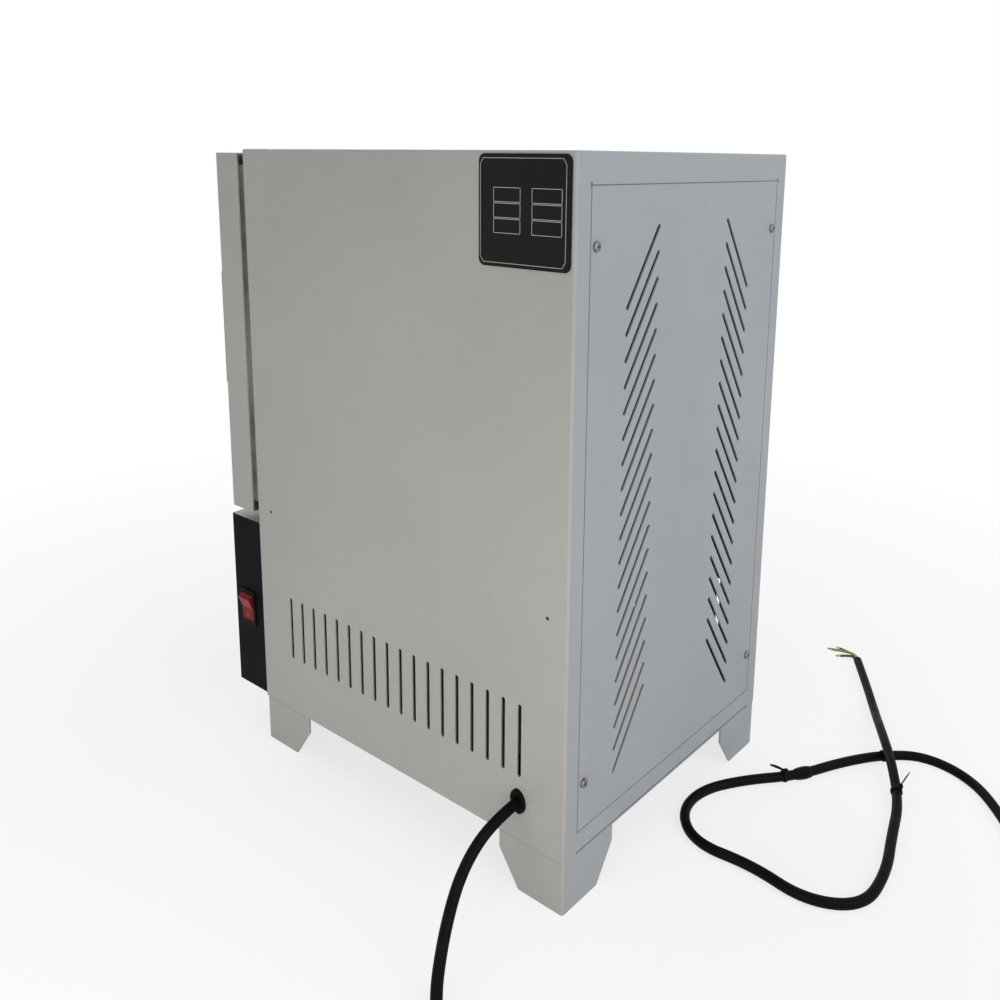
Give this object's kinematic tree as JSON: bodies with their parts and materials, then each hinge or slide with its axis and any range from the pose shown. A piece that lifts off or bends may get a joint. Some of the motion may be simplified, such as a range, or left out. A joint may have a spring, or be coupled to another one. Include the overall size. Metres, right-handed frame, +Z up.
{
  "type": "muffle furnace",
  "caption": "Small box muffle furnace on sheet legs, with a side-hung insulated door, a control box under it, louvred rear panel and a bare-ended mains cord.",
  "frame": {"origin": "bottom centre of the furnace without its cord, on the surface that it stands on", "axes": "+X to the operator's right, +Y to the rear, +Z up; the door and the controls face -Y"},
  "size_m": [0.7958, 0.8523, 0.65],
  "materials": {
    "casing_paint": "light grey fine orange-peel powder coat",
    "control_paint": "near-black fine powder coat",
    "zinc_sheet": "zinc-plated sheet, dull",
    "stainless_sheet": "brushed stainless sheet",
    "fibre_board": "vacuum-formed ceramic fibre board, matt white",
    "fibre_blanket": "ceramic fibre blanket, matt white",
    "seal_braid": "braided glass-fibre seal, dark",
    "element_wire": "oxidised resistance wire",
    "alumina": "sintered alumina, matt",
    "hearth_ceramic": "refractory plate, sandy",
    "cast_aluminium": "die-cast",
    "plate_black": "anodised plate, black",
    "screw_chrome": "plated, bright",
    "hinge_steel": "turned",
    "handle_black": "phenolic, satin",
    "handle_steel": "plated, satin",
    "catch_black": "matt",
    "controller_black": "moulded, fine texture",
    "window_smoke": "polished, unlit",
    "key_grey": "soft grey keys",
    "lamp_bezel": "plated ring",
    "lamp_lens": "translucent, unlit",
    "switch_black": "moulded, semi-gloss",
    "rocker_red": "moulded, gloss",
    "sink_aluminium": "extruded, as drawn",
    "relay_plastic": "moulded case",
    "terminal_plastic": "moulded box",
    "grommet_rubber": "moulded, matt",
    "cord_rubber": "extruded sheath, satin",
    "core_insulation": "three cores: green and yellow, blue, brown"
  },
  "bodies": {
    "cabinet": {"outer_casing": "casing_paint", "front_frame": "casing_paint", "base_pan": "casing_paint", "rear_rail": "casing_paint", "rear_inner_frame": "casing_paint", "back_panel": "casing_paint", "back_panel_screws": "screw_chrome", "leg_front_left": "casing_paint", "leg_front_right": "casing_paint", "leg_rear_left": "casing_paint", "leg_rear_right": "casing_paint", "rating_plate": "plate_black", "divider_shelf": "zinc_sheet", "inner_shell": "zinc_sheet", "mouth_frame": "fibre_board", "roof_board": "fibre_board", "floor_board": "fibre_board", "back_board": "fibre_board", "heater_board_left": "fibre_board", "heater_board_right": "fibre_board", "heating_elements": "element_wire", "element_terminals": "alumina", "hearth_plate": "hearth_ceramic", "insulation_left": "fibre_blanket", "insulation_right": "fibre_blanket", "insulation_top": "fibre_blanket", "insulation_bottom": "fibre_blanket", "insulation_rear": "fibre_blanket", "thermocouple_sheath": "alumina", "thermocouple_head": "cast_aluminium", "hinge_leaves_casing": "casing_paint", "hinge_pins": "hinge_steel", "catch_housing": "catch_black", "control_tray": "casing_paint", "control_fascia": "control_paint", "controller_case": "controller_black", "controller_window": "window_smoke", "pilot_lamp_bezels": "lamp_bezel", "pilot_lamp_lenses": "lamp_lens", "switch_body": "switch_black", "heat_sink": "sink_aluminium", "solid_state_relay": "relay_plastic", "terminal_box": "terminal_plastic", "cable_grommet": "grommet_rubber", "power_cord": "cord_rubber", "cord_cores": "core_insulation"},
    "door": {"door_shell": "casing_paint", "door_inner_panel": "stainless_sheet", "door_insulation": "fibre_blanket", "door_plug": "fibre_board", "door_seal": "seal_braid", "handle_bar": "handle_black", "handle_posts": "handle_steel", "hinge_leaves_door": "casing_paint", "catch_tongue": "handle_steel"},
    "rocker": {"power_rocker": "rocker_red"},
    "key_1": {"controller_key_1": "key_grey"},
    "key_2": {"controller_key_2": "key_grey"},
    "key_3": {"controller_key_3": "key_grey"},
    "key_4": {"controller_key_4": "key_grey"}
  },
  "joints": [
    {"name": "door_hinge", "type": "hinge", "parent": "cabinet", "child": "door", "pos_m": [-0.17835, -0.1703, 0.455], "axis": [0, 0, -1], "range_deg": [0, 120]},
    {"name": "rocker_pivot", "type": "hinge", "parent": "cabinet", "child": "rocker", "pos_m": [0.17255, -0.1913, 0.149], "axis": [0, -1, 0], "range_deg": [0, 23.6]},
    {"name": "key_1_press", "type": "slide", "parent": "cabinet", "child": "key_1", "axis": [0, 1, 0], "range_m": [0, 0.0008], "stiffness_N_per_m": 300},
    {"name": "key_2_press", "type": "slide", "parent": "cabinet", "child": "key_2", "axis": [0, 1, 0], "range_m": [0, 0.0008], "stiffness_N_per_m": 300},
    {"name": "key_3_press", "type": "slide", "parent": "cabinet", "child": "key_3", "axis": [0, 1, 0], "range_m": [0, 0.0008], "stiffness_N_per_m": 300},
    {"name": "key_4_press", "type": "slide", "parent": "cabinet", "child": "key_4", "axis": [0, 1, 0], "range_m": [0, 0.0008], "stiffness_N_per_m": 300}
  ]
}
